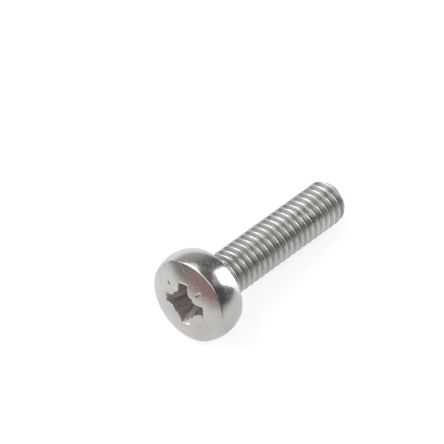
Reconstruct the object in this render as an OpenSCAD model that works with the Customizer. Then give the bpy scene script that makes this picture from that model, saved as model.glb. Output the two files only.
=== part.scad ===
/* [Thread] */

// Diameter over the thread's crests
major_d = 3.92; // [3.4:0.02:4.4]

// Distance from one crest to the next along the axis
pitch = 0.70; // [0.5:0.05:1.0]

// Depth of the thread from crest to root, as a share of the pitch
depth_share = 0.586; // [0.4:0.01:0.65]

// Width of the flat on top of each crest, as a share of the pitch
crest_share = 0.157; // [0.1:0.01:0.2]

// Diameter of the rolled blank, which is left plain under the head
blank_d = 3.54; // [3.2:0.02:3.8]

// Length from the bearing face to the end face
shank_len = 16.0; // [8:0.5:40]

// Plain length under the head, before the thread
neck_len = 0.55; // [0.4:0.05:1.2]

// Length over which the thread deepens after the neck
run_in = 0.70; // [0.3:0.05:1.4]

// Diameter of the flat end face
end_d = 3.20; // [2.6:0.05:3.4]

// Length of the taper at the end
end_taper = 0.85; // [0.5:0.05:1.2]

/* [Head] */

// Largest diameter of the head
head_d = 8.0; // [7.2:0.1:9.0]

// Height of the head at its middle
head_h = 3.10; // [2.9:0.05:3.6]

// Height of the head's side, up to the edge of its domed face
side_h = 2.52; // [2.2:0.02:2.7]

// How far the side swells between its two edges
side_swell = 0.28; // [0.15:0.01:0.4]

// Radius of the edge round the domed face
face_edge_r = 0.22; // [0.1:0.01:0.4]

// Radius of the edge round the bearing face
bearing_edge_r = 0.14; // [0.08:0.01:0.25]

// Radius of the fillet between neck and bearing face
fillet_r = 0.20; // [0.1:0.05:0.3]

/* [Drive recess] */

// Diameter across the ends of the four wings at the mouth
recess_d = 4.20; // [3.8:0.05:4.5]

// Width of each wing at the mouth
wing_w = 0.86; // [0.7:0.02:0.95]

// Depth of the wings, from the top of the dome
recess_depth = 2.05; // [1.6:0.05:2.5]

// Slope of the wings' ends from the axis, in degrees
wing_slope = 26.5; // [20:0.5:30]

// Distance from the axis to the square core's sides at the mouth
core_apothem = 1.22; // [1.05:0.01:1.3]

// Slope of the core's sides from the axis, in degrees
core_slope = 10.0; // [6:0.5:14]

// Width of the small notch in the middle of each core side
notch_w = 0.24; // [0.16:0.02:0.3]

// Length of each tick mark on the domed face
tick_len = 0.55; // [0.4:0.05:0.7]

// Depth of each tick mark
tick_depth = 0.10; // [0.06:0.01:0.14]

// Turn of the recess about the screw's axis, in degrees
recess_turn = 10; // [0:1:89]

/* [Hidden] */

// The whole screw, or one node of it by name

steel = [0.74, 0.73, 0.71];
smooth = 96;
turn_steps = 28;

crest_r = major_d / 2;
thread_depth = depth_share * pitch;
crest_flat = crest_share * pitch;
root_r = crest_r - thread_depth;
neck_r = blank_d / 2;
inner_r = neck_r - 0.02;
end_r = end_d / 2;
flank_w = thread_depth * tan(30);
head_r = head_d / 2;

// The side is one arc whose ends draw in by the swell
side_mid = side_h / 2;
side_r = (side_mid * side_mid + side_swell * side_swell) / (2 * side_swell);
side_x = head_r - side_r;
rim_r = head_r - side_swell;

// The dome is one arc that meets the side at the face's edge
dome_rise = head_h - side_h;
dome_r = (rim_r * rim_r + dome_rise * dome_rise) / (2 * dome_rise);
dome_y = head_h - dome_r;

// Centre of the rounded edge between the dome and the side
edge_a = dome_r - face_edge_r;
edge_b = side_r - face_edge_r;
edge_dx = side_x;
edge_dy = side_mid - dome_y;
edge_gap = norm([edge_dx, edge_dy]);
edge_along = (edge_a * edge_a - edge_b * edge_b + edge_gap * edge_gap) / (2 * edge_gap);
edge_off = sqrt(edge_a * edge_a - edge_along * edge_along);
edge_x = (edge_along * edge_dx + edge_off * edge_dy) / edge_gap;
edge_y = dome_y + (edge_along * edge_dy - edge_off * edge_dx) / edge_gap;

// Centre of the rounded edge between the side and the bearing face
foot_y = bearing_edge_r;
foot_reach = side_r - bearing_edge_r;
foot_x = side_x + sqrt(foot_reach * foot_reach - (side_mid - foot_y) * (side_mid - foot_y));

// The screw lies with its head's side and its last full crest on the floor
taper_start = shank_len - end_taper;
rest_a = crest_r - side_x;
rest_b = taper_start + side_mid;
rest_tilt = asin(side_r / norm([rest_a, rest_b])) - atan2(rest_a, rest_b);

// The thread's surface starts inside the head and ends at the end face
surface_start = -0.8 * pitch;
plain_end = taper_start + 0.30;
turns = floor((taper_start - surface_start) / pitch) + 2;
squeeze = (shank_len - taper_start) / (2.1 * pitch);

// Thread

function along(z) = z <= taper_start ? z : taper_start + (z - taper_start) * squeeze;

function ramp(v) = max(0, min(1, v));

function cut(z) = min(ramp((z - neck_len) / run_in), ramp((plain_end - z) / (plain_end - taper_start)));

function envelope(z) = z <= taper_start ? crest_r : end_r + (crest_r - end_r) * (shank_len - z) / end_taper;

function corner_z(k) = [0, flank_w, flank_w + crest_flat, 2 * flank_w + crest_flat][k];

function corner_r(k) = k == 1 || k == 2 ? crest_r : root_r;

function surface_r(k, z) = min(envelope(z), inner_r + cut(z) * (corner_r(k) - inner_r));

function ring_point(r, step, z) = [r * cos(360 * step / turn_steps), r * sin(360 * step / turn_steps), z];

function helix_point(step, j) =
    let (k = j % 4)
    let (z = along(surface_start + pitch * (floor(j / 4) + step / turn_steps) + corner_z(k)))
    ring_point(surface_r(k, z), step, z);

module threaded_shank() {
    rows = 4 * turns;
    column = rows + 2;
    points = [
        for (step = [0 : turn_steps - 1])
            for (j = [-1 : rows])
                j < 0 ? ring_point(inner_r, step, surface_start - 0.1)
                : j == rows ? ring_point(end_r, step, shank_len)
                : helix_point(step, j)
    ];
    // Flanks, crests and roots between one column of points and the next
    sides = [
        for (step = [0 : turn_steps - 2])
            for (j = [0 : rows])
                let (a = step * column + j)
                let (b = a + column)
                for (half = [0, 1])
                    half == 0 ? [a, a + 1, b + 1] : [a, b + 1, b]
    ];
    // The last column meets the first one a whole turn higher up
    last = (turn_steps - 1) * column;
    seam = [
        for (j = [1 : rows - 4])
            let (a = last + j)
            let (b = j + 4)
            for (half = [0, 1])
                half == 0 ? [a, a + 1, b + 1] : [a, b + 1, b]
    ];
    seam_start = [for (j = [0 : 4]) [last + 1, j + 1, j]];
    seam_end = [for (j = [rows - 3 : rows]) [last + j, last + j + 1, rows + 1]];
    caps = [
        [for (step = [0 : turn_steps - 1]) step * column],
        [for (step = [turn_steps - 1 : -1 : 0]) step * column + rows + 1]
    ];
    polyhedron(points = points, faces = concat(sides, seam, seam_start, [[last, last + 1, 0]], seam_end, caps), convexity = 10);
}

module neck() {
    rotate_extrude($fn = smooth)
        difference() {
            translate([0, -0.3])
                square([neck_r + fillet_r, neck_len + 0.3]);
            translate([neck_r, fillet_r])
                square([fillet_r + 1, neck_len]);
            translate([neck_r + fillet_r, fillet_r])
                circle(fillet_r, $fn = smooth);
        }
}

// Head

module head_outline() {
    difference() {
        intersection() {
            square([head_r + 1, head_h + 1]);
            translate([side_x, side_mid])
                circle(side_r, $fn = smooth * 2);
            translate([0, dome_y])
                circle(dome_r, $fn = smooth * 4);
        }
        // Room for the two rounded edges
        polygon([
            [edge_x, edge_y],
            [edge_x + 4 * face_edge_r * edge_x / edge_a, edge_y + 4 * face_edge_r * (edge_y - dome_y) / edge_a],
            [edge_x + 6 * face_edge_r, edge_y + 6 * face_edge_r],
            [edge_x + 4 * face_edge_r * (edge_x - side_x) / edge_b, edge_y + 4 * face_edge_r * (edge_y - side_mid) / edge_b]
        ]);
        polygon([
            [foot_x, foot_y],
            [foot_x, -1],
            [foot_x + 1, -1],
            [foot_x + 4 * bearing_edge_r * (foot_x - side_x) / foot_reach, foot_y + 4 * bearing_edge_r * (foot_y - side_mid) / foot_reach]
        ]);
    }
    translate([edge_x, edge_y])
        circle(face_edge_r, $fn = smooth);
    translate([foot_x, foot_y])
        circle(bearing_edge_r, $fn = smooth);
}

module head_blank() {
    rotate([180, 0, 0])
        rotate_extrude($fn = smooth)
            head_outline();
}

// Drive recess, with its mouth at height 0 and its depth downwards

module tapered_bar(long_0, wide_0, long_1, wide_1, rise, depth) {
    grow_long = (long_0 - long_1) / depth * rise;
    grow_wide = (wide_0 - wide_1) / depth * rise;
    top = [(long_0 + grow_long) / 2, (wide_0 + grow_wide) / 2];
    low = [long_1 / 2, wide_1 / 2];
    corners = [[-1, -1], [1, -1], [1, 1], [-1, 1]];
    points = [
        for (c = corners) [c[0] * low[0], c[1] * low[1], -depth],
        for (c = corners) [c[0] * top[0], c[1] * top[1], rise]
    ];
    faces = [[0, 1, 2, 3], [7, 6, 5, 4], [0, 4, 5, 1], [1, 5, 6, 2], [2, 6, 7, 3], [3, 7, 4, 0]];
    polyhedron(points = points, faces = faces, convexity = 2);
}

module drive_recess() {
    rise = 0.4;
    deep_d = recess_d - 2 * recess_depth * tan(wing_slope);
    deep_core = core_apothem - recess_depth * tan(core_slope);
    core_width = 2.5 * core_apothem;
    deep_width = deep_d - 0.3;
    for (turn = [0, 90])
        rotate([0, 0, turn])
            tapered_bar(recess_d, wing_w, deep_d, 0.74 * wing_w, rise, recess_depth);
    // Square core between the wings, its corners cut off inside them
    intersection() {
        rotate([0, 0, 45])
            tapered_bar(2 * core_apothem, 2 * core_apothem, 2 * deep_core, 2 * deep_core, rise, recess_depth);
        tapered_bar(core_width, core_width, deep_width, deep_width, rise, recess_depth);
    }
    // Small notches in the core's sides, and the drill point below
    for (turn = [45, 135])
        rotate([0, 0, turn])
            tapered_bar(2 * core_apothem + notch_w, notch_w, 2 * deep_core, 0.5 * notch_w, rise, recess_depth - 0.05);
    translate([0, 0, -recess_depth - 0.25])
        cylinder(h = 0.35, r1 = 0.15, r2 = 0.65, $fn = smooth);
}

module tick_marks() {
    tick_r = recess_d / 2 + tick_len / 2;
    drop = dome_r - sqrt(dome_r * dome_r - tick_r * tick_r);
    for (turn = [45 : 90 : 315])
        rotate([0, 0, turn])
            translate([tick_r, 0, -drop])
                rotate([0, asin(tick_r / dome_r), 0])
                    tapered_bar(tick_len, 2 * tick_depth, tick_len - tick_depth, 0.02, 0.2, tick_depth);
}

module machine_screw() {
    color(steel)
        rotate([0, 90 + rest_tilt, 0])
            difference() {
                union() {
                    head_blank();
                    neck();
                    threaded_shank();
                }
                translate([0, 0, -head_h])
                    rotate([180, 0, -recess_turn]) {
                        drive_recess();
                        tick_marks();
                    }
            }
}

machine_screw();
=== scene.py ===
import logging
import math
from dataclasses import dataclass, field
from enum import Enum

import bmesh
import bpy
from mathutils import Euler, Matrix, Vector


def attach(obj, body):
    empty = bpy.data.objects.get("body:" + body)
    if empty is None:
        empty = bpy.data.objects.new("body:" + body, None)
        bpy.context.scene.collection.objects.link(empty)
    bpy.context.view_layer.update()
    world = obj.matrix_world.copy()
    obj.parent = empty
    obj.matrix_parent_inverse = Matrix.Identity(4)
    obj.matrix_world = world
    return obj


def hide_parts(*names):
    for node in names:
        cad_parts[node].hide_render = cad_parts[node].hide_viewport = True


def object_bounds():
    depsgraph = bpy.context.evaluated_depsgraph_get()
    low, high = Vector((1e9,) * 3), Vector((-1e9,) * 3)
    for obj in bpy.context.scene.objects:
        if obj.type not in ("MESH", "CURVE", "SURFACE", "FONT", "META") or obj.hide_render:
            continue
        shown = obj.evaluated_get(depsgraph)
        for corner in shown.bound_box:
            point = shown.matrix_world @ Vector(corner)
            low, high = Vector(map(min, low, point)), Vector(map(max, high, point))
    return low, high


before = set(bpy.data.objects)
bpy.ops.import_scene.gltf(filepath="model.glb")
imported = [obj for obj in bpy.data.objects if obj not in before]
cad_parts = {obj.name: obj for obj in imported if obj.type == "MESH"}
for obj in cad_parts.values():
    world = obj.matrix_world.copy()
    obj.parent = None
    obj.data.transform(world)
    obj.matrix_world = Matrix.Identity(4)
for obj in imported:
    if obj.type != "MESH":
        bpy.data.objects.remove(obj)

CAD_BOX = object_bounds()
NODE = "machine_screw"
MM = 0.001
COLUMNS = 144
QUARTER = COLUMNS // 4
HALF_QUARTER = COLUMNS // 8

logging.basicConfig(level=logging.INFO, format="%(message)s")
log = logging.getLogger("machine_screw")

Point = tuple[float, float, float]
Flat = tuple[float, float]


class NodeKind(Enum):
    """Shader nodes that the finishes use, by Blender's own names."""

    PRINCIPLED = "ShaderNodeBsdfPrincipled"
    DIFFUSE = "ShaderNodeBsdfDiffuse"
    EMISSION = "ShaderNodeEmission"
    OUTPUT = "ShaderNodeOutputMaterial"
    COORDS = "ShaderNodeTexCoord"
    MAPPING = "ShaderNodeMapping"
    NOISE = "ShaderNodeTexNoise"
    RAMP = "ShaderNodeValToRGB"
    MIX = "ShaderNodeMix"
    MATH = "ShaderNodeMath"
    VECTOR_MATH = "ShaderNodeVectorMath"
    SPLIT = "ShaderNodeSeparateXYZ"
    JOIN = "ShaderNodeCombineXYZ"
    RANGE = "ShaderNodeMapRange"
    BUMP = "ShaderNodeBump"
    GROUP = "ShaderNodeGroup"
    LIGHT_PATH = "ShaderNodeLightPath"
    MIX_SHADER = "ShaderNodeMixShader"


@dataclass(frozen=True)
class ScrewSizes:
    """The screw's driving sizes in millimetres, as in the part's source."""

    crest_r: float = 1.96
    thread_depth: float = 0.41
    pitch: float = 0.70
    thread_start: float = -0.56
    crest_flat: float = 0.11
    neck_r: float = 1.77
    shank_len: float = 16.0
    neck_len: float = 0.55
    run_in: float = 0.70
    end_r: float = 1.62
    end_taper: float = 0.50
    head_r: float = 4.0
    head_h: float = 3.25
    side_h: float = 2.52
    side_swell: float = 0.28
    face_edge_r: float = 0.22
    bearing_edge_r: float = 0.14
    fillet_r: float = 0.20
    recess_r: float = 2.09
    wing_half: float = 0.44
    wing_splay: float = math.radians(6.0)
    wing_narrowing: float = 0.26
    recess_depth: float = 2.20
    wing_slope: float = math.radians(26.5)
    core_apothem: float = 1.22
    core_slope: float = math.radians(10.0)
    notch_half: float = 0.12
    tick_start: float = 1.80
    tick_len: float = 0.60
    tick_half: float = 0.08
    tick_depth: float = 0.05
    recess_turn: float = math.radians(10.0)

    @property
    def root_r(self) -> float:
        """Radius at the bottom of the thread."""
        return self.crest_r - self.thread_depth

    @property
    def taper_start(self) -> float:
        """Height at which the end's taper starts."""
        return self.shank_len - self.end_taper

    @property
    def side_mid(self) -> float:
        """Height of the head's widest place."""
        return self.side_h / 2

    @property
    def side_arc(self) -> float:
        """Radius of the arc that the head's side follows."""
        return (self.side_mid**2 + self.side_swell**2) / (2 * self.side_swell)

    @property
    def side_x(self) -> float:
        """Distance of that arc's centre from the axis."""
        return self.head_r - self.side_arc

    @property
    def rim_r(self) -> float:
        """Radius at which dome and side would meet."""
        return self.head_r - self.side_swell

    @property
    def dome_arc(self) -> float:
        """Radius of the dome."""
        rise = self.head_h - self.side_h
        return (self.rim_r**2 + rise**2) / (2 * rise)

    def dome_drop(self, radius: float) -> float:
        """Depth of the dome below its top at a distance from the axis.

        Args:
            radius: distance from the axis in millimetres.

        Returns:
            The depth in millimetres.
        """
        return self.dome_arc - math.sqrt(self.dome_arc**2 - radius**2)

    @property
    def tilt(self) -> float:
        """Angle by which the lying screw dips towards its end."""
        across = self.crest_r - self.side_x
        along = self.taper_start + self.side_mid
        return math.asin(self.side_arc / math.hypot(across, along)) - math.atan2(across, along)


class LoopModel:
    """A mesh grown from one ring of vertices, loop by loop, about the Z axis.

    The screw is modelled upright, with its end up, and laid down when it is whole.
    """

    def __init__(self, name: str, radius: float, height: float) -> None:
        """Adds the first ring and opens it in edit mode."""
        bpy.ops.object.select_all(action="DESELECT")
        bpy.ops.mesh.primitive_circle_add(vertices=COLUMNS, radius=radius * MM, location=(0, 0, height * MM))
        self.obj = bpy.context.object
        self.obj.name = name
        bpy.ops.object.transform_apply(location=True, rotation=True, scale=True)
        self.radius, self.height = radius, height
        bpy.ops.object.mode_set(mode="EDIT")
        bpy.ops.mesh.select_mode(type="EDGE")
        bpy.ops.mesh.select_all(action="SELECT")

    def ring(self, radius: float, height: float) -> None:
        """Extrudes the last loop to a new radius and height."""
        rise = (height - self.height) * MM
        bpy.ops.mesh.extrude_region_move(TRANSFORM_OT_translate={"value": (0, 0, rise)})
        grow = radius / self.radius
        bpy.ops.transform.resize(value=(grow, grow, 1), center_override=(0, 0, 0))
        self.radius, self.height = radius, height

    def loop(self, points: list[Point]) -> None:
        """Extrudes the last loop and sets it on the given points, in order of angle."""
        bpy.ops.mesh.extrude_region_move(TRANSFORM_OT_translate={"value": (0, 0, 0)})
        mesh = bmesh.from_edit_mesh(self.obj.data)
        half_step = math.pi / COLUMNS / 2
        turn = 2 * math.pi
        moved = sorted(
            (v for v in mesh.verts if v.select),
            key=lambda v: (math.atan2(v.co.y, v.co.x) + half_step) % turn,
        )
        for vertex, point in zip(moved, points):
            vertex.co = Vector(point) * MM
        bmesh.update_edit_mesh(self.obj.data)
        self.radius = math.hypot(points[0][0], points[0][1])
        self.height = points[0][2]

    def close(self, height: float) -> None:
        """Gathers the last loop in one point on the axis."""
        bpy.ops.mesh.extrude_region_move(TRANSFORM_OT_translate={"value": (0, 0, (height - self.height) * MM)})
        bpy.ops.transform.resize(value=(0, 0, 1), center_override=(0, 0, 0))
        bpy.ops.mesh.merge(type="CENTER")

    def finish(self) -> bpy.types.Object:
        """Leaves edit mode and returns the object."""
        bpy.ops.object.mode_set(mode="OBJECT")
        return self.obj


@dataclass
class DriveRecess:
    """The four-winged recess and its tick marks, as loops of points."""

    sizes: ScrewSizes
    lip: float = 0.055
    corner: float = 0.09
    inner_corner: float = 0.32
    outer_circle: float = 2.85

    def half_outline(self, grow: float, depth: float) -> list[Flat]:
        """The outline from a wing's middle to the middle of the next core side.

        Args:
            grow: how far the outline stands outside the recess's own.
            depth: depth below the dome's top, in millimetres.

        Returns:
            Points in a frame whose X axis runs along the wing.
        """
        s = self.sizes
        share = depth / s.recess_depth
        end = s.recess_r - depth * math.tan(s.wing_slope) + grow
        half = s.wing_half * (1 - s.wing_narrowing * share) + grow
        apothem = s.core_apothem - depth * math.tan(s.core_slope) + grow
        notch_deep = s.notch_half * (1 - share)
        notch_half = s.notch_half * (1 - 0.5 * share) + grow
        round_end = self.corner * (1 - 0.5 * share)
        splay = math.tan(s.wing_splay)
        meet_x = (apothem * math.sqrt(2) - half - end * splay) / (1 - splay)
        meet_y = apothem * math.sqrt(2) - meet_x
        corner_x = end - round_end
        wall = math.hypot(corner_x - meet_x, meet_y - half)
        wall_x, wall_y = (corner_x - meet_x) / wall, (half - meet_y) / wall
        slant = 1 / math.sqrt(2)
        side = (meet_x - meet_y) / 2 / slant
        soft = min(self.inner_corner, 0.5 * wall, 0.7 * (side - notch_half))
        points = [(end, half * k / 3.4) for k in (0, 1.1, 2.2)]
        points.append((end, half - round_end))
        points.append((end - 0.29 * round_end, half - 0.29 * round_end))
        points.append((corner_x, half))
        for k in (1, 2, 3, 4):
            along = wall - (wall - soft) * k / 4
            points.append((meet_x + wall_x * along, meet_y + wall_y * along))
        for t in (0.25, 0.5, 0.75, 1.0):
            first, last = soft * (1 - t) ** 2, soft * t * t
            points.append((meet_x + wall_x * first - slant * last, meet_y + wall_y * first + slant * last))
        run = side - soft - notch_half
        for k in (1, 2, 3):
            along = soft + run * k / 3
            points.append((meet_x - along * slant, meet_y + along * slant))
        for along, out in ((side - 0.75 * notch_half, notch_deep), (side, notch_deep)):
            points.append((meet_x - (along - out) * slant, meet_y + (along + out) * slant))
        return points

    def outline_point(self, index: int, grow: float, depth: float) -> Flat:
        """One column's place on the outline, turned into its own quarter."""
        quarter, place = divmod(index, QUARTER)
        mirrored = place > HALF_QUARTER
        x, y = self.half_outline(grow, depth)[QUARTER - place if mirrored else place]
        if mirrored:
            x, y = y, x
        for _ in range(quarter):
            x, y = -y, x
        return x, y

    def mouth(self, index: int, grow: float, sink: float) -> Point:
        """A point of the rounded lip, which follows the dome."""
        x, y = self.outline_point(index, grow, 0.0)
        drop = self.sizes.dome_drop(math.hypot(x, y)) + sink
        x, y = self.outline_point(index, grow, drop)
        return x, y, -self.sizes.head_h + drop

    def blend(self, index: int, share: float, tick: float) -> Point:
        """A point of the dome between the lip and a full circle.

        Args:
            index: the column.
            share: 0 at the lip and 1 on the circle.
            tick: depth of the tick mark in this loop.

        Returns:
            The point in millimetres.
        """
        angle = 2 * math.pi * index / COLUMNS
        x0, y0 = self.outline_point(index, self.lip, 0.0)
        x1, y1 = self.outer_circle * math.cos(angle), self.outer_circle * math.sin(angle)
        x, y = x0 + (x1 - x0) * share, y0 + (y1 - y0) * share
        middle = math.pi / 4 + math.pi / 2 * (index // QUARTER)
        aside = index % QUARTER - HALF_QUARTER
        if abs(aside) == 1:
            reach = math.hypot(x, y)
            lean = math.asin(self.sizes.tick_half / reach) * aside
            x, y = reach * math.cos(middle + lean), reach * math.sin(middle + lean)
        drop = self.sizes.dome_drop(math.hypot(x, y))
        if aside == 0:
            drop += tick
        return x, y, -self.sizes.head_h + drop

    def dome_loops(self) -> list[list[Point]]:
        """Loops from the full circle in to the lip, with the tick marks."""
        s = self.sizes
        start = s.core_apothem + self.lip
        reach = self.outer_circle - start
        steps = [(1.0, 0.0), (0.86, 0.0)]
        for along, deep in ((1.0, 0.0), (0.9, 0.6), (0.7, 1.0), (0.4, 1.0), (0.12, 0.6), (0.0, 0.0)):
            radius = s.tick_start + s.tick_len * along
            steps.append(((radius - start) / reach, s.tick_depth * deep))
        steps += [(share, 0.0) for share in (0.22, 0.13, 0.06, 0.02)]
        return [[self.blend(i, share, tick) for i in range(COLUMNS)] for share, tick in steps]

    def wall_loops(self) -> list[list[Point]]:
        """Loops from the lip down to the recess's floor."""
        s = self.sizes
        loops = []
        for turn in (0.0, 22.5, 45.0, 67.5, 90.0):
            angle = math.radians(turn)
            grow, sink = self.lip * (1 - math.sin(angle)), self.lip * (1 - math.cos(angle))
            loops.append([self.mouth(i, grow, sink) for i in range(COLUMNS)])
        tops = [p[2] + s.head_h for p in loops[-1]]
        for share in (0.08, 0.2, 0.35, 0.5, 0.65, 0.8, 0.92, 0.985, 1.0):
            tuck = 0.03 if share == 1.0 else 0.0
            points = []
            for i in range(COLUMNS):
                depth = tops[i] + (s.recess_depth - tops[i]) * share
                x, y = self.outline_point(i, -tuck, depth)
                points.append((x, y, -s.head_h + depth))
            loops.append(points)
        return loops

    def floor_loops(self) -> list[list[Point]]:
        """Loops from the recess's floor into the drill point."""
        s = self.sizes
        loops = []
        for radius, extra in ((0.62, 0.0), (0.52, 0.03), (0.3, 0.16), (0.13, 0.25)):
            loops.append([
                (radius * math.cos(2 * math.pi * i / COLUMNS), radius * math.sin(2 * math.pi * i / COLUMNS),
                 -s.head_h + s.recess_depth + extra)
                for i in range(COLUMNS)
            ])
        return loops


@dataclass
class PanHead:
    """Neck, fillet, bearing face, swelling side, dome and recess."""

    sizes: ScrewSizes
    start_z: float = 0.40

    def fillet(self) -> list[Flat]:
        """Rings from the neck to the bearing face."""
        s = self.sizes
        rings = [(s.neck_r, s.fillet_r + 0.02)]
        for k in range(1, 9):
            angle = math.pi / 2 * k / 8
            rings.append((s.neck_r + s.fillet_r * (1 - math.cos(angle)), s.fillet_r * (1 - math.sin(angle))))
        return rings

    def edge(self, centre: Flat, radius: float, first: float, last: float, steps: int) -> list[Flat]:
        """Rings round an edge, from one direction of its arc to another."""
        rings = []
        for k in range(steps + 1):
            angle = first + (last - first) * k / steps
            rings.append((centre[0] + radius * math.cos(angle), centre[1] + radius * math.sin(angle)))
        return rings

    def outside(self) -> list[Flat]:
        """Rings from the bearing face round the side to the dome."""
        s = self.sizes
        reach = s.side_arc - s.bearing_edge_r
        foot_y = s.bearing_edge_r
        foot_x = s.side_x + math.sqrt(reach**2 - (s.side_mid - foot_y) ** 2)
        foot_turn = math.atan2(foot_y - s.side_mid, foot_x - s.side_x)
        dome_y = s.head_h - s.dome_arc
        a, b = s.dome_arc - s.face_edge_r, s.side_arc - s.face_edge_r
        gap_x, gap_y = s.side_x, s.side_mid - dome_y
        gap = math.hypot(gap_x, gap_y)
        along = (a * a - b * b + gap * gap) / (2 * gap)
        off = math.sqrt(a * a - along * along)
        edge_x = (along * gap_x + off * gap_y) / gap
        edge_y = dome_y + (along * gap_y - off * gap_x) / gap
        side_turn = math.atan2(edge_y - s.side_mid, edge_x - s.side_x)
        dome_turn = math.atan2(edge_y - dome_y, edge_x)
        inner = s.neck_r + s.fillet_r
        rings = [(inner + (foot_x - inner) * share, 0.0) for share in (0.03, 0.3, 0.6, 0.9, 0.97)]
        rings += self.edge((foot_x, foot_y), s.bearing_edge_r, -math.pi / 2, foot_turn, 7)
        rings += self.edge((s.side_x, s.side_mid), s.side_arc, foot_turn, side_turn, 22)[1:]
        rings += self.edge((edge_x, edge_y), s.face_edge_r, side_turn, dome_turn, 8)[1:]
        for radius in (3.45, 3.25, 3.05):
            rings.append((radius, s.head_h - s.dome_drop(radius)))
        return rings

    def build(self) -> bpy.types.Object:
        """Models the head and returns it."""
        s = self.sizes
        model = LoopModel("head", s.neck_r, self.start_z)
        for radius, height in self.fillet():
            model.ring(radius, height)
        for radius, height in self.outside():
            model.ring(radius, -height)
        recess = DriveRecess(s)
        for points in recess.dome_loops() + recess.wall_loops() + recess.floor_loops():
            model.loop(points)
        model.close(-s.head_h + s.recess_depth + 0.25)
        return model.finish()


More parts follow.
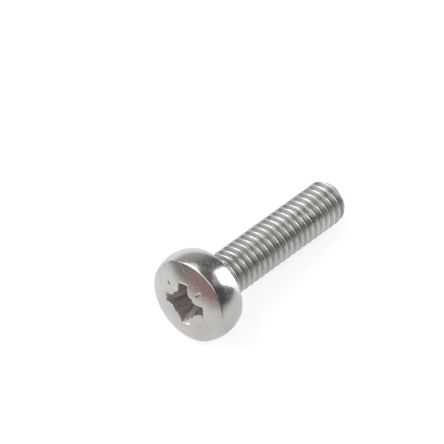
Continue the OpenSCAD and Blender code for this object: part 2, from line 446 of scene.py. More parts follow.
@dataclass
class RolledThread:
    """The threaded shank with its run-in, its taper and its end face."""

    sizes: ScrewSizes
    start_z: float = 0.40
    end_edge: float = 0.05
    profile_steps: int = 16
    rounding: float = 0.07
    profile: list[Flat] = field(default_factory=list)

    def __post_init__(self) -> None:
        """Works out one pitch of the thread's profile, as radius and height."""
        s = self.sizes
        for k in range(self.profile_steps + 1):
            height = s.pitch * k / self.profile_steps
            shares = [self.sharp(height + self.rounding * (j / 12 - 0.5)) for j in range(13)]
            share = sum(shares) / len(shares)
            self.profile.append((s.root_r + s.thread_depth * share, height))

    def sharp(self, height: float) -> float:
        """Share of the thread's depth at a height, with sharp edges."""
        s = self.sizes
        flank = s.thread_depth * math.tan(math.radians(30))
        aside = abs((height + s.pitch / 2) % s.pitch - s.pitch / 2)
        return min(1.0, max(0.0, (aside - self.root_half) / flank))

    @property
    def root_half(self) -> float:
        """Half the flat at the thread's root."""
        s = self.sizes
        return (s.pitch - s.crest_flat) / 2 - s.thread_depth * math.tan(math.radians(30))

    @property
    def first_root(self) -> float:
        """Height at which the thread's surface starts, before the screw is turned about its axis."""
        s = self.sizes
        return s.thread_start - s.pitch * s.recess_turn / (2 * math.pi)

    @property
    def turns(self) -> int:
        """Whole turns of thread surface between neck and end."""
        s = self.sizes
        return math.floor((s.taper_start - self.first_root) / s.pitch) + 1

    def envelope(self, z: float) -> float:
        """Largest radius that the end's taper leaves."""
        s = self.sizes
        if z <= s.taper_start:
            return s.crest_r
        return s.end_r + (s.crest_r - s.end_r) * (s.shank_len - z) / s.end_taper

    def cut(self, z: float) -> float:
        """How much of the full thread is rolled in, from 0 to 1."""
        s = self.sizes
        rise = (z - s.neck_len) / s.run_in
        fall = (s.taper_start + 0.30 - z) / 0.30
        share = max(0.0, min(1.0, rise, fall))
        return share * share * (3 - 2 * share)

    def place(self, vertex: bmesh.types.BMVert) -> None:
        """Moves one vertex from the endless thread to this screw's own."""
        s = self.sizes
        x, y, z = (c / MM for c in vertex.co)
        radius = math.hypot(x, y)
        if z > s.taper_start:
            over = self.first_root + s.pitch * (self.turns + 1) - s.taper_start
            z = s.taper_start + (z - s.taper_start) * (s.end_taper - self.end_edge - 0.01) / over
        if z < s.neck_len:
            free = s.neck_len - self.start_z - 0.01
            z = s.neck_len - (s.neck_len - z) * free / (s.neck_len - self.first_root)
        plain = s.neck_r
        target = min(self.envelope(z), plain + self.cut(z) * (radius - plain))
        grow = target / radius
        vertex.co = Vector((x * grow, y * grow, z)) * MM

    def draw_profile(self) -> bpy.types.Object:
        """Draws the profile as a chain of edges, from one vertex on."""
        bpy.ops.object.select_all(action="DESELECT")
        bpy.ops.mesh.primitive_plane_add(size=MM, location=(0, 0, 0))
        chain = bpy.context.object
        bpy.ops.object.mode_set(mode="EDIT")
        bpy.ops.mesh.select_mode(type="VERT")
        bpy.ops.mesh.select_all(action="SELECT")
        bpy.ops.mesh.merge(type="CENTER")
        bpy.ops.mesh.select_all(action="SELECT")
        first = self.profile[0]
        start = (first[0] * MM, 0, (self.first_root + first[1]) * MM)
        bpy.ops.transform.translate(value=start)
        for (r0, z0), (r1, z1) in zip(self.profile, self.profile[1:]):
            bpy.ops.mesh.extrude_vertices_move(TRANSFORM_OT_translate={"value": ((r1 - r0) * MM, 0, (z1 - z0) * MM)})
        bpy.ops.object.mode_set(mode="OBJECT")
        bpy.ops.object.transform_apply(location=True, rotation=True, scale=True)
        return chain

    def build(self) -> bpy.types.Object:
        """Models the threaded shank and returns it."""
        s = self.sizes
        thread = self.draw_profile()
        thread.name = "thread"
        screw = thread.modifiers.new("turns", "SCREW")
        screw.axis = "Z"
        screw.angle = 2 * math.pi
        screw.screw_offset = s.pitch * MM
        screw.iterations = self.turns
        screw.steps = screw.render_steps = COLUMNS
        screw.use_merge_vertices = False
        screw.use_normal_calculate = False
        bpy.ops.object.modifier_apply(modifier=screw.name)
        bpy.ops.object.mode_set(mode="EDIT")
        bpy.ops.mesh.select_all(action="SELECT")
        bpy.ops.mesh.remove_doubles(threshold=1e-7)
        mesh = bmesh.from_edit_mesh(thread.data)
        for vertex in mesh.verts:
            self.place(vertex)
        bmesh.update_edit_mesh(thread.data)
        self.flatten_end(thread, upper=False, height=self.start_z)
        self.flatten_end(thread, upper=True, height=s.shank_len - self.end_edge)
        self.close_end(thread)
        bpy.ops.object.mode_set(mode="OBJECT")
        return thread

    def select_edge(self, obj: bpy.types.Object, upper: bool, height: float, path_only: bool) -> None:
        """Selects the open edge at one end of the thread.

        Args:
            obj: the thread, in edit mode.
            upper: whether it is the end at the tip.
            height: the flat ring's height, which is left out.
            path_only: leaves out the seam and the last step of the helix beside it.
        """
        middle, flat = self.sizes.shank_len / 2 * MM, height * MM
        bpy.ops.mesh.select_mode(type="EDGE")
        bpy.ops.mesh.select_all(action="DESELECT")
        mesh = bmesh.from_edit_mesh(obj.data)
        open_edges = [e for e in mesh.edges if e.is_boundary and (e.verts[0].co.z > middle) == upper]
        open_edges = [e for e in open_edges if any(abs(v.co.z - flat) > 1e-7 for v in e.verts)]
        seam = [e for e in open_edges if all(v.co.x > 0 and abs(v.co.y) < 1e-7 for v in e.verts)]
        ends = {v for e in seam for v in e.verts}
        far = max(ends, key=lambda v: abs(v.co.z - flat))
        for edge in open_edges:
            edge.select = not path_only or (edge not in seam and far not in edge.verts)
        mesh.select_flush_mode()
        bmesh.update_edit_mesh(obj.data)

    def flatten_end(self, obj: bpy.types.Object, upper: bool, height: float) -> None:
        """Extrudes an open end to a flat ring at a height and closes the seam."""
        self.select_edge(obj, upper, height, path_only=True)
        bpy.ops.mesh.extrude_region_move(TRANSFORM_OT_translate={"value": (0, 0, 0)})
        bpy.ops.transform.resize(value=(1, 1, 0), center_override=(0, 0, height * MM))
        self.select_edge(obj, upper, height, path_only=False)
        bpy.ops.mesh.edge_face_add()

    def close_end(self, obj: bpy.types.Object) -> None:
        """Rounds the end face's edge and closes the face."""
        s = self.sizes
        radius = self.envelope(s.shank_len - self.end_edge)
        self.select_ring(obj, s.shank_len - self.end_edge)
        mesh = bmesh.from_edit_mesh(obj.data)
        for vertex in (v for v in mesh.verts if v.select):
            grow = radius * MM / math.hypot(vertex.co.x, vertex.co.y)
            vertex.co.x *= grow
            vertex.co.y *= grow
        bmesh.update_edit_mesh(obj.data)
        height = s.shank_len - self.end_edge
        flat = radius - self.end_edge
        rings = [
            (flat + self.end_edge * math.cos(a), height + self.end_edge * math.sin(a))
            for a in (math.radians(d) for d in (22.5, 45, 67.5, 90))
        ]
        rings += [(flat * share, s.shank_len) for share in (0.97, 0.8, 0.55, 0.3, 0.1)]
        for new_radius, new_height in rings:
            bpy.ops.mesh.extrude_region_move(TRANSFORM_OT_translate={"value": (0, 0, (new_height - height) * MM)})
            grow = new_radius / radius
            bpy.ops.transform.resize(value=(grow, grow, 1), center_override=(0, 0, 0))
            radius, height = new_radius, new_height
        bpy.ops.mesh.merge(type="CENTER")

    def select_ring(self, obj: bpy.types.Object, height: float) -> None:
        """Selects the open ring at a height."""
        bpy.ops.mesh.select_all(action="DESELECT")
        mesh = bmesh.from_edit_mesh(obj.data)
        for edge in mesh.edges:
            near = all(abs(v.co.z - height * MM) < 1e-7 for v in edge.verts)
            edge.select = near and edge.is_boundary
        mesh.select_flush_mode()
        bmesh.update_edit_mesh(obj.data)


class NodeSheet:
    """A shader node tree with short ways to add and join nodes."""

    def __init__(self, tree: bpy.types.NodeTree) -> None:
        """Keeps the tree."""
        self.tree = tree

    def add(self, kind: NodeKind, **settings: object) -> bpy.types.Node:
        """Adds a node and sets its properties."""
        node = self.tree.nodes.new(kind.value)
        for name, value in settings.items():
            setattr(node, name, value)
        return node

    def link(self, source: bpy.types.NodeSocket, target: bpy.types.NodeSocket) -> None:
        """Joins two sockets."""
        self.tree.links.new(source, target)

    def math(self, operation: str, first: object, second: object = None) -> bpy.types.NodeSocket:
        """Adds a math node fed by sockets or numbers and returns its output."""
        node = self.add(NodeKind.MATH, operation=operation)
        for socket, value in zip(node.inputs, (first, second)):
            if value is None:
                continue
            if isinstance(value, bpy.types.NodeSocket):
                self.link(value, socket)
            else:
                socket.default_value = value
        return node.outputs[0]

    def span(self, value: bpy.types.NodeSocket, low: float, high: float, out_low: float, out_high: float) -> bpy.types.NodeSocket:
        """Maps a value from one range to another, with a smooth step."""
        node = self.add(NodeKind.RANGE, interpolation_type="SMOOTHSTEP")
        self.link(value, node.inputs["Value"])
        for name, number in (("From Min", low), ("From Max", high), ("To Min", out_low), ("To Max", out_high)):
            node.inputs[name].default_value = number
        return node.outputs["Result"]

    def noise(self, vector: bpy.types.NodeSocket, scale: float, detail: float, rough: float = 0.5) -> bpy.types.NodeSocket:
        """Adds a noise texture and returns its value."""
        node = self.add(NodeKind.NOISE)
        self.link(vector, node.inputs["Vector"])
        node.inputs["Scale"].default_value = scale
        node.inputs["Detail"].default_value = detail
        node.inputs["Roughness"].default_value = rough
        return node.outputs["Fac"]


SCRATCH_TURNS = ((0.4, 0.9, 0.3), (1.3, -0.5, 1.1), (-0.7, 0.3, 2.2))


def axis_group(sizes: ScrewSizes) -> bpy.types.NodeTree:
    """Node group that gives places along, across and round the screw's axis.

    Args:
        sizes: the screw's sizes.

    Returns:
        The group, with outputs Along, Radius, Rolled and Drawn in metres. A texture on Rolled
        runs round the axis, and one on Drawn runs along it.
    """
    group = bpy.data.node_groups.new("screw_axis", "ShaderNodeTree")
    for name in ("Along", "Radius"):
        group.interface.new_socket(name=name, in_out="OUTPUT", socket_type="NodeSocketFloat")
    for name in ("Rolled", "Drawn"):
        group.interface.new_socket(name=name, in_out="OUTPUT", socket_type="NodeSocketVector")
    sheet = NodeSheet(group)
    coords = sheet.add(NodeKind.COORDS)
    turn = sheet.add(NodeKind.MAPPING, vector_type="POINT")
    turn.inputs["Rotation"].default_value = (0, -sizes.tilt, 0)
    sheet.link(coords.outputs["Object"], turn.inputs["Vector"])
    split = sheet.add(NodeKind.SPLIT)
    sheet.link(turn.outputs["Vector"], split.inputs[0])
    along, across, up = split.outputs
    square = sheet.math("ADD", sheet.math("MULTIPLY", across, across), sheet.math("MULTIPLY", up, up))
    radius = sheet.math("SQRT", square)
    round_axis = sheet.math("ARCTAN2", up, across)
    rolled = sheet.add(NodeKind.JOIN)
    sheet.link(sheet.math("MULTIPLY", along, 1.0), rolled.inputs[0])
    sheet.link(sheet.math("MULTIPLY", round_axis, 0.00004), rolled.inputs[1])
    sheet.link(radius, rolled.inputs[2])
    drawn = sheet.add(NodeKind.JOIN)
    sheet.link(sheet.math("MULTIPLY", along, 0.12), drawn.inputs[0])
    sheet.link(across, drawn.inputs[1])
    sheet.link(up, drawn.inputs[2])
    output = group.nodes.new("NodeGroupOutput")
    sheet.link(along, output.inputs["Along"])
    sheet.link(radius, output.inputs["Radius"])
    sheet.link(rolled.outputs[0], output.inputs["Rolled"])
    sheet.link(drawn.outputs[0], output.inputs["Drawn"])
    return group


def grain_group() -> bpy.types.NodeTree:
    """Node group with the steel's clouds, fine grain, hairline scratches and their height.

    Returns:
        The group, with outputs Cloud, Fine, Scratch and Height.
    """
    group = bpy.data.node_groups.new("steel_grain", "ShaderNodeTree")
    for name in ("Cloud", "Fine", "Scratch", "Height"):
        group.interface.new_socket(name=name, in_out="OUTPUT", socket_type="NodeSocketFloat")
    sheet = NodeSheet(group)
    place = sheet.add(NodeKind.COORDS).outputs["Object"]
    cloud = sheet.noise(place, 420.0, 4.0, 0.6)
    fine = sheet.noise(place, 5200.0, 3.0, 0.6)
    scratch = None
    for turn in SCRATCH_TURNS:
        laid = sheet.add(NodeKind.MAPPING, vector_type="TEXTURE")
        laid.inputs["Rotation"].default_value = turn
        laid.inputs["Scale"].default_value = (14.0, 1.0, 1.0)
        sheet.link(place, laid.inputs["Vector"])
        hairs = sheet.span(sheet.noise(laid.outputs["Vector"], 6000.0, 0.0), 0.73, 0.80, 0.0, 1.0)
        scratch = hairs if scratch is None else sheet.math("MAXIMUM", scratch, hairs)
    height = sheet.math("ADD", sheet.math("MULTIPLY", fine, 0.35), sheet.math("MULTIPLY", cloud, 1.2))
    height = sheet.math("SUBTRACT", height, sheet.math("MULTIPLY", scratch, 0.28))
    output = group.nodes.new("NodeGroupOutput")
    sheet.link(cloud, output.inputs["Cloud"])
    sheet.link(fine, output.inputs["Fine"])
    sheet.link(scratch, output.inputs["Scratch"])
    sheet.link(height, output.inputs["Height"])
    return group


@dataclass(frozen=True)
class Finish:
    """One finish of the steel: its colours and how rough it is."""

    name: str
    bright: Point
    dull: Point
    # Colour mixed into the thread's roots: partly grime, partly painted shade in the creases.
    root_grime_and_shade: Point
    rough_low: float
    rough_high: float
    metallic: float
    streaks: float
    bump: float

    def start(self) -> tuple[NodeSheet, bpy.types.Material, bpy.types.Node]:
        """Makes an empty metal material and returns its sheet, itself and its shader."""
        material = bpy.data.materials.new(self.name)
        material.use_nodes = True
        material.node_tree.nodes.clear()
        sheet = NodeSheet(material.node_tree)
        output = sheet.add(NodeKind.OUTPUT)
        steel = sheet.add(NodeKind.PRINCIPLED)
        steel.inputs["Metallic"].default_value = self.metallic
        sheet.link(steel.outputs[0], output.inputs["Surface"])
        return sheet, material, steel

    def make(self, sizes: ScrewSizes, places: bpy.types.NodeTree, grain: bpy.types.NodeTree) -> bpy.types.Material:
        """Builds the material.

        Args:
            sizes: the screw's sizes, for what depends on the radius.
            places: the group that gives places about the screw's axis.
            grain: the group that gives the steel's grain.

        Returns:
            The finished material.
        """
        sheet, material, steel = self.start()
        axis = sheet.add(NodeKind.GROUP, node_tree=places)
        skin = sheet.add(NodeKind.GROUP, node_tree=grain)
        drawn = sheet.noise(axis.outputs["Rolled"], 26000.0, 3.0, 0.65)
        shank = sheet.span(axis.outputs["Along"], 0.0, 0.0004, 0.0, 1.0)
        root = sheet.span(axis.outputs["Radius"], (sizes.crest_r - 0.05) * MM, (sizes.crest_r - 0.16) * MM, 0.0, 1.0)
        root = sheet.math("MULTIPLY", root, shank)
        streak = sheet.span(sheet.noise(axis.outputs["Drawn"], 3000.0, 3.0, 0.6), 0.35, 0.65, 0.0, self.streaks)
        tint = sheet.add(NodeKind.MIX, data_type="RGBA")
        tint.inputs["A"].default_value = (*self.bright, 1.0)
        tint.inputs["B"].default_value = (*self.dull, 1.0)
        share = sheet.math("MAXIMUM", sheet.span(skin.outputs["Cloud"], 0.35, 0.75, 0.0, 0.55), streak)
        sheet.link(share, tint.inputs["Factor"])
        # Base colour darkened in the thread's roots: partly grime, partly painted shade.
        root_grime_and_shade_mix = sheet.add(NodeKind.MIX, data_type="RGBA")
        sheet.link(tint.outputs["Result"], root_grime_and_shade_mix.inputs["A"])
        root_grime_and_shade_mix.inputs["B"].default_value = (*self.root_grime_and_shade, 1.0)
        sheet.link(sheet.math("MULTIPLY", root, 0.14), root_grime_and_shade_mix.inputs["Factor"])
        sheet.link(root_grime_and_shade_mix.outputs["Result"], steel.inputs["Base Color"])
        rough = sheet.span(skin.outputs["Cloud"], 0.3, 0.7, self.rough_low, self.rough_high)
        rough = sheet.math("ADD", rough, sheet.math("MULTIPLY", root, 0.10))
        rough = sheet.math("ADD", rough, sheet.span(skin.outputs["Fine"], 0.4, 0.7, 0.0, 0.05))
        rough = sheet.math("ADD", rough, sheet.math("MULTIPLY", skin.outputs["Scratch"], 0.10))
        sheet.link(rough, steel.inputs["Roughness"])
        lines = sheet.math("MULTIPLY", sheet.math("MULTIPLY", drawn, shank), 0.9)
        height = sheet.math("ADD", sheet.math("ADD", skin.outputs["Height"], lines), sheet.math("MULTIPLY", streak, 1.5))
        bump = sheet.add(NodeKind.BUMP)
        bump.inputs["Strength"].default_value = self.bump
        bump.inputs["Distance"].default_value = 0.00004
        sheet.link(height, bump.inputs["Height"])
        sheet.link(bump.outputs["Normal"], steel.inputs["Normal"])
        return material


ROLLED_STEEL = Finish(
    name="rolled_steel",
    bright=(0.54, 0.535, 0.52),
    dull=(0.45, 0.445, 0.43),
    root_grime_and_shade=(0.20, 0.19, 0.18),
    rough_low=0.13,
    rough_high=0.26,
    metallic=1.0,
    streaks=0.0,
    bump=0.26,
)
PUNCHED_STEEL = Finish(
    name="punched_steel",
    bright=(0.66, 0.63, 0.62),
    dull=(0.43, 0.39, 0.375),
    root_grime_and_shade=(0.20, 0.19, 0.18),
    rough_low=0.28,
    rough_high=0.36,
    metallic=0.85,
    streaks=0.8,
    bump=0.30,
)


@dataclass
class MachineScrew:
    """The whole screw: one piece of steel, lying on the floor."""

    sizes: ScrewSizes
    outside: Finish
    recess: Finish
    floor_z: float

    def build(self) -> bpy.types.Object:
        """Models head and thread, joins them and lays the screw down."""
        head = PanHead(self.sizes).build()
        thread = RolledThread(self.sizes).build()
        bpy.ops.object.select_all(action="DESELECT")
        thread.select_set(True)
        head.select_set(True)
        bpy.context.view_layer.objects.active = head
        bpy.ops.object.join()
        head.name = head.data.name = "screw_body"
        bpy.ops.object.mode_set(mode="EDIT")
        bpy.ops.mesh.select_all(action="SELECT")
        bpy.ops.mesh.remove_doubles(threshold=5e-7)
        bpy.ops.mesh.normals_make_consistent(inside=False)
        bpy.ops.object.mode_set(mode="OBJECT")
        self.mark_recess(head)
        head.rotation_euler = Euler((0, 0, -self.sizes.recess_turn))
        bpy.ops.object.transform_apply(location=True, rotation=True, scale=True)
        head.rotation_euler = Euler((0, math.pi / 2 + self.sizes.tilt, 0))
        bpy.ops.object.transform_apply(location=True, rotation=True, scale=True)
        head.location.z = self.floor_z - min(v.co.z for v in head.data.vertices)
        bpy.ops.object.transform_apply(location=True, rotation=True, scale=True)
        bpy.ops.object.shade_smooth_by_angle(angle=math.radians(48))
        return head

    def mark_recess(self, body: bpy.types.Object) -> None:
        """Gives the recess's walls and floor the second material slot."""
        s = self.sizes
        for face in body.data.polygons:
            x, y, z = (c / MM for c in face.center)
            reach = math.hypot(x, y)
            if z < 0 and reach < s.recess_r + 0.2:
                depth = z + s.head_h - s.dome_drop(reach)
                face.material_index = 1 if depth > DriveRecess.lip * 0.9 else 0

    def dress(self, body: bpy.types.Object) -> None:
        """Gives the screw its finish and ties it to the frame."""
        places, grain = axis_group(self.sizes), grain_group()
        slots = [face.material_index for face in body.data.polygons]
        body.data.materials.clear()
        for finish in (self.outside, self.recess):
            body.data.materials.append(finish.make(self.sizes, places, grain))
        body.data.polygons.foreach_set("material_index", slots)
        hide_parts(NODE)
        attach(body, "root")


@dataclass(frozen=True)
class Lamp:
    """One soft area lamp, aimed at the screw."""

    name: str
    azimuth: float
    elevation: float
    distance: float
    size: float
    power: float

    def make(self, target: Vector) -> None:
        """Adds the lamp to the scene."""
        data = bpy.data.lights.new(self.name, "AREA")
        data.shape = "SQUARE"
        data.size = self.size
        data.energy = self.power
        lamp = bpy.data.objects.new(self.name, data)
        bpy.context.scene.collection.objects.link(lamp)
        a, e = math.radians(self.azimuth), math.radians(self.elevation)
        way = Vector((math.cos(a) * math.cos(e), math.sin(a) * math.cos(e), math.sin(e)))
        lamp.location = target + way * self.distance
        lamp.rotation_euler = way.to_track_quat("Z", "Y").to_euler()


@dataclass(frozen=True)
class SoftBox:
    """One soft-edged rectangle of the surroundings, as the screw sees it."""

    name: str
    azimuth: float
    elevation: float
    roll: float
    half_width: float
    half_height: float
    edge: float
    colour: Point

    def mask(self, sheet: NodeSheet, way: bpy.types.NodeSocket) -> bpy.types.NodeSocket:
        """Makes a value that is 1 inside the rectangle and 0 outside.

        Args:
            sheet: the world's nodes.
            way: the direction that is looked at.

        Returns:
            The value.
        """
        turn = Euler((0, -math.radians(self.elevation), math.radians(self.azimuth))).to_matrix()
        ahead, side, rise = turn.col[0], turn.col[1], turn.col[2]
        roll = math.radians(self.roll)
        across = side * math.cos(roll) + rise * math.sin(roll)
        upright = rise * math.cos(roll) - side * math.sin(roll)
        parts = []
        for axis in (ahead, across, upright):
            dot = sheet.add(NodeKind.VECTOR_MATH, operation="DOT_PRODUCT")
            sheet.link(way, dot.inputs[0])
            dot.inputs[1].default_value = axis
            parts.append(dot.outputs["Value"])
        front = sheet.math("MAXIMUM", parts[0], 0.0001)
        wide = sheet.math("ABSOLUTE", sheet.math("DIVIDE", parts[1], front))
        tall = sheet.math("ABSOLUTE", sheet.math("DIVIDE", parts[2], front))
        inside = sheet.math(
            "MULTIPLY",
            sheet.span(wide, self.half_width + self.edge, self.half_width - self.edge, 0.0, 1.0),
            sheet.span(tall, self.half_height + self.edge, self.half_height - self.edge, 0.0, 1.0),
        )
        return sheet.math("MULTIPLY", inside, sheet.math("GREATER_THAN", parts[0], 0.001))


@dataclass
class Studio:
    """Floor, surroundings, lamps and camera."""

    floor_z: float
    eye: Point = (-0.204930, -0.173701, 0.283016)
    aim: Point = (0.0093200, 0.0063650, -0.0037850)
    roll: float = math.radians(0.295)
    lens: float = 383.64
    floor_tone: float = 0.36
    floor_glow: float = 0.76
    # Tones that glossy rays see in the floor are painted reflections: darker on the right side as a painted shadow, a
    # painted dark patch, warm and grey far tones and a painted sheen.
    painted_reflection_left: float = 0.77
    painted_shadow_reflection_right: float = 0.57
    painted_shadow_reflection_far_right: float = 0.25
    painted_reflection_far_warm: Point = (0.46, 0.29, 0.27)
    painted_reflection_far_grey: Point = (0.27, 0.28, 0.29)
    painted_dark_reflection: float = 0.18
    sheen: float = 0.9
    sheen_turn: float = math.radians(-23)
    wall: Point = (0.18, 0.178, 0.175)
    boxes: tuple[SoftBox, ...] = (
        SoftBox("pale wall", 58, 20, 0, 0.50, 0.48, 0.30, (0.54, 0.535, 0.53)),
        SoftBox("low pale wall", 52, -4, 0, 0.64, 0.26, 0.22, (1.35, 1.34, 1.32)),
        SoftBox("dark wall", -88, 24, 0, 0.46, 0.50, 0.14, (0.10, 0.103, 0.106)),
        SoftBox("warm horizon", 165, 0, 0, 0.30, 0.12, 0.08, (0.46, 0.32, 0.30)),
        SoftBox("left wall", 124, 26, 0, 0.44, 0.26, 0.12, (0.85, 0.84, 0.85)),
        SoftBox("front box", 168, 42, 0, 0.88, 0.44, 0.16, (1.25, 1.24, 1.24)),
        SoftBox("dark horizon", -165, 2, 0, 0.30, 0.15, 0.07, (0.09, 0.088, 0.085)),
        SoftBox("left horizon", 104, 0, 0, 0.24, 0.13, 0.08, (0.26, 0.25, 0.26)),
        SoftBox("top spot", -60, 54, 0, 0.26, 0.10, 0.14, (0.70, 0.70, 0.70)),
        SoftBox("back box", 129, 54, 0, 0.40, 0.34, 0.12, (2.5, 2.5, 2.55)),
        SoftBox("high box", 98, 62, 0, 0.13, 0.14, 0.10, (2.2, 2.2, 2.2)),
        SoftBox("main box", -26, 24, 27, 0.29, 0.52, 0.09, (3.8, 3.8, 3.8)),
    )
    soft_lamps: tuple[Lamp, ...] = (Lamp("overhead", 110, 62, 0.6, 0.4, 0.6),)

    def camera(self) -> None:
        """Adds the camera at the photo's viewing angle."""
        data = bpy.data.cameras.new("camera")
        data.lens = self.lens
        data.sensor_width = 36.0
        data.clip_start, data.clip_end = 0.01, 10.0
        camera = bpy.data.objects.new("camera", data)
        bpy.context.scene.collection.objects.link(camera)
        way = Vector(self.eye) - Vector(self.aim)
        camera.location = self.eye
        turn = way.to_track_quat("Z", "Y")
        camera.rotation_mode = "QUATERNION"
        camera.rotation_quaternion = turn @ Euler((0, 0, self.roll)).to_quaternion()
        bpy.context.scene.camera = camera

    def floor(self) -> None:
        """Adds the pale floor, which keeps the screw's soft shadow and glows with painted reflection tones for glossy
        rays.
        """
        bpy.ops.object.select_all(action="DESELECT")
        bpy.ops.mesh.primitive_plane_add(size=3.0, location=(0, 0, self.floor_z))
        floor = bpy.context.object
        floor.name = "floor"
        material = bpy.data.materials.new("floor_white")
        material.use_nodes = True
        material.node_tree.nodes.clear()
        sheet = NodeSheet(material.node_tree)
        output = sheet.add(NodeKind.OUTPUT)
        paper = sheet.add(NodeKind.DIFFUSE)
        glow = sheet.add(NodeKind.EMISSION)
        path = sheet.add(NodeKind.LIGHT_PATH)
        coords = sheet.add(NodeKind.COORDS)
        split = sheet.add(NodeKind.SPLIT)
        sheet.link(coords.outputs["Object"], split.inputs[0])
        x, y = split.outputs[0], split.outputs[1]
        # Painted reflection: far from the screw, glossy rays see warm and grey floor tones.
        shifted = sheet.math("ADD", x, sheet.math("MULTIPLY", sheet.math("MAXIMUM", y, 0.0), 0.15))
        edge = sheet.span(shifted, -0.010, -0.031, 0.0, 1.0)
        far = sheet.add(NodeKind.MIX, data_type="RGBA")
        far.inputs["A"].default_value = (*self.painted_reflection_far_warm, 1)
        far.inputs["B"].default_value = (*self.painted_reflection_far_grey, 1)
        slant = sheet.math("DIVIDE", y, sheet.math("MAXIMUM", sheet.math("MULTIPLY", x, -1.0), 0.001))
        sheet.link(sheet.span(slant, 0.48, 0.78, 0.0, 1.0), far.inputs["Factor"])
        # Painted reflection tone near the screw, darker on the right side as a painted shadow, which grows darker
        # still further right.
        near = sheet.span(y, -0.008, 0.008, self.painted_shadow_reflection_right, self.painted_reflection_left)
        painted_shadow_fade = sheet.span(y, -0.010, -0.060, 0.0, self.painted_shadow_reflection_right - self.painted_shadow_reflection_far_right)
        near = sheet.math("ADD", sheet.math("SUBTRACT", near, painted_shadow_fade), self.painted_sheen_value(sheet, x, y))
        # Painted dark reflection patch in the floor's near right corner.
        corner = sheet.math("MULTIPLY", sheet.span(y, -0.006, -0.011, 0.0, 1.0), sheet.span(x, -0.008, -0.016, 0.0, 1.0))
        mirrored = sheet.add(NodeKind.MIX, data_type="RGBA")
        sheet.link(near, mirrored.inputs["A"])
        sheet.link(far.outputs["Result"], mirrored.inputs["B"])
        sheet.link(edge, mirrored.inputs["Factor"])
        # Glossy rays see the painted reflection tones; camera and transmission rays see the white glow.
        tone = sheet.add(NodeKind.MIX, data_type="RGBA")
        tone.inputs["A"].default_value = (self.floor_glow, self.floor_glow, self.floor_glow, 1)
        dark = sheet.add(NodeKind.MIX, data_type="RGBA")
        sheet.link(mirrored.outputs["Result"], dark.inputs["A"])
        dark.inputs["B"].default_value = (self.painted_dark_reflection, self.painted_dark_reflection, self.painted_dark_reflection, 1)
        sheet.link(corner, dark.inputs["Factor"])
        sheet.link(dark.outputs["Result"], tone.inputs["B"])
        sheet.link(path.outputs["Is Glossy Ray"], tone.inputs["Factor"])
        sheet.link(tone.outputs["Result"], glow.inputs["Color"])
        seen = sheet.math("MAXIMUM", path.outputs["Is Camera Ray"], path.outputs["Is Glossy Ray"])
        seen = sheet.math("MAXIMUM", seen, path.outputs["Is Transmission Ray"])
        sheet.link(seen, glow.inputs["Strength"])
        both = material.node_tree.nodes.new("ShaderNodeAddShader")
        shade = sheet.add(NodeKind.MIX, data_type="RGBA")
        shade.inputs["A"].default_value = (self.floor_tone, self.floor_tone, self.floor_tone, 1)
        shade.inputs["B"].default_value = (0, 0, 0, 1)
        # Where the painted far tones and dark patch show, glossy rays get no diffuse floor.
        dull = sheet.math("MULTIPLY", sheet.math("MAXIMUM", edge, corner), path.outputs["Is Glossy Ray"])
        sheet.link(dull, shade.inputs["Factor"])
        sheet.link(shade.outputs["Result"], paper.inputs["Color"])
        sheet.link(paper.outputs[0], both.inputs[0])
        sheet.link(glow.outputs[0], both.inputs[1])
        sheet.link(both.outputs[0], output.inputs["Surface"])
        floor.data.materials.append(material)

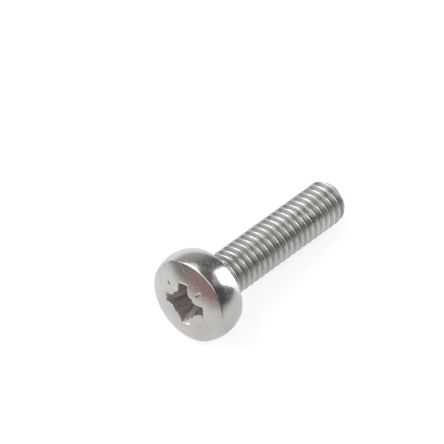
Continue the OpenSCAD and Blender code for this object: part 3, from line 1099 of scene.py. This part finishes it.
    def painted_sheen_value(self, sheet: NodeSheet, x: bpy.types.NodeSocket, y: bpy.types.NodeSocket) -> bpy.types.NodeSocket:
        """Makes a painted sheen: a pale streak on the floor, away from the screw, that glossy rays see where the main
        box's reflection falls.

        Args:
            sheet: the floor's nodes.
            x: place along the X axis, in metres.
            y: place along the Y axis, in metres.

        Returns:
            The brightness that it adds.
        """
        cos, sin = math.cos(self.sheen_turn), math.sin(self.sheen_turn)
        along = sheet.math("ADD", sheet.math("MULTIPLY", x, cos), sheet.math("MULTIPLY", y, sin))
        across = sheet.math("SUBTRACT", sheet.math("MULTIPLY", y, cos), sheet.math("MULTIPLY", x, sin))
        spread = sheet.math("DIVIDE", sheet.math("ABSOLUTE", across), sheet.math("MAXIMUM", along, 0.001))
        streak = sheet.math("MULTIPLY", sheet.span(spread, 0.32, 0.08, 0.0, 1.0), sheet.span(along, 0.006, 0.030, 0.0, 1.0))
        return sheet.math("MULTIPLY", streak, self.sheen)

    def surroundings(self) -> None:
        """Sets the world: soft boxes and darker walls round the table."""
        world = bpy.data.worlds.new("studio")
        bpy.context.scene.world = world
        world.use_nodes = True
        world.node_tree.nodes.clear()
        sheet = NodeSheet(world.node_tree)
        output = world.node_tree.nodes.new("ShaderNodeOutputWorld")
        back = world.node_tree.nodes.new("ShaderNodeBackground")
        coords = sheet.add(NodeKind.COORDS)
        colour = None
        for box in self.boxes:
            layer = sheet.add(NodeKind.MIX, data_type="RGBA")
            if colour is None:
                layer.inputs["A"].default_value = (*self.wall, 1)
            else:
                sheet.link(colour, layer.inputs["A"])
            layer.inputs["B"].default_value = (*box.colour, 1)
            sheet.link(box.mask(sheet, coords.outputs["Generated"]), layer.inputs["Factor"])
            colour = layer.outputs["Result"]
        path = sheet.add(NodeKind.LIGHT_PATH)
        seen = sheet.add(NodeKind.MIX, data_type="RGBA")
        sheet.link(colour, seen.inputs["A"])
        seen.inputs["B"].default_value = (1, 1, 1, 1)
        clear = sheet.math("MAXIMUM", path.outputs["Is Camera Ray"], path.outputs["Is Transmission Ray"])
        sheet.link(clear, seen.inputs["Factor"])
        sheet.link(seen.outputs["Result"], back.inputs["Color"])
        sheet.link(back.outputs[0], output.inputs["Surface"])

    def lamps(self) -> None:
        """Adds the soft lamps."""
        target = Vector((0.006, 0, 0))
        for lamp in self.soft_lamps:
            lamp.make(target)

    def build(self) -> None:
        """Builds all of the studio."""
        self.camera()
        self.floor()
        self.surroundings()
        self.lamps()
        bpy.context.scene.view_settings.view_transform = "Standard"


def main() -> None:
    """Builds the screw and its studio."""
    screw = MachineScrew(ScrewSizes(), ROLLED_STEEL, PUNCHED_STEEL, floor_z=CAD_BOX[0].z)
    body = screw.build()
    screw.dress(body)
    log.info("%s: %d faces", body.name, len(body.data.polygons))
    Studio(floor_z=CAD_BOX[0].z).build()


if __name__ == "__main__":
    main()
